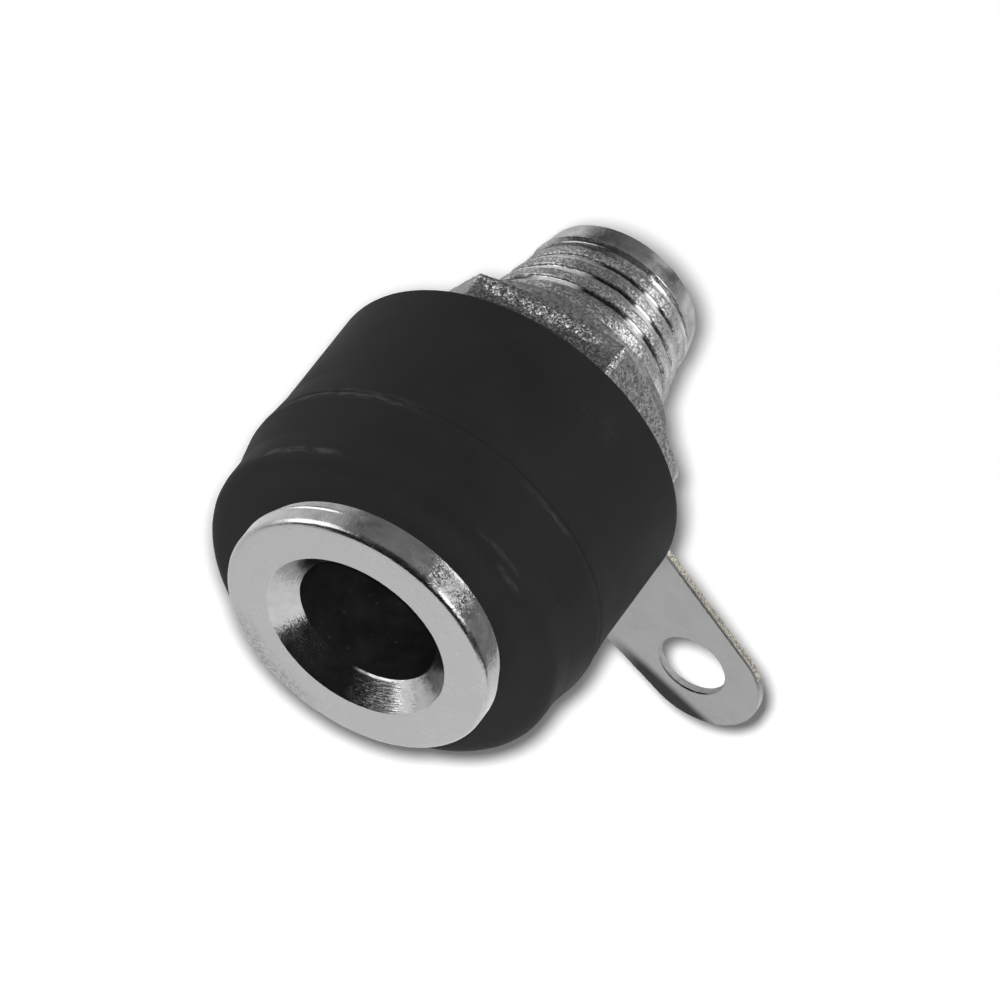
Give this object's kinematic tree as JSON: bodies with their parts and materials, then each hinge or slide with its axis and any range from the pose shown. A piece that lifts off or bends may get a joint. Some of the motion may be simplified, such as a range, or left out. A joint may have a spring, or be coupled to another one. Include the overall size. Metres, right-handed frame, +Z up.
{
  "type": "banana jack",
  "caption": "Insulated panel-mount banana jack: flanged plug sleeve, black front and rear bushes, flat solder tag and hex nut on a threaded tail.",
  "frame": {"origin": "on the jack's axis, at the seat where a panel is clamped between the front and rear bushes", "axes": "+Y along the axis towards the threaded tail, -Y out of the plug mouth, +Z up; the solder tag points 45.5 degrees below +X"},
  "size_m": [0.0138, 0.015, 0.0139],
  "materials": {
    "sleeve_plating": "turned brass, bright nickel plating",
    "front_moulding": "matt black moulding, scuffed along its edges",
    "rear_moulding": "matt black moulding",
    "tag_plating": "stamped brass sheet, satin tin plating, bare brass on the sheared edge",
    "nut_plating": "coarse, grainy plating"
  },
  "bodies": {
    "root": {"contact_sleeve": "sleeve_plating", "front_insulator": "front_moulding", "rear_insulator": "rear_moulding", "solder_tag": "tag_plating", "hex_nut": "nut_plating"}
  },
  "joints": []
}
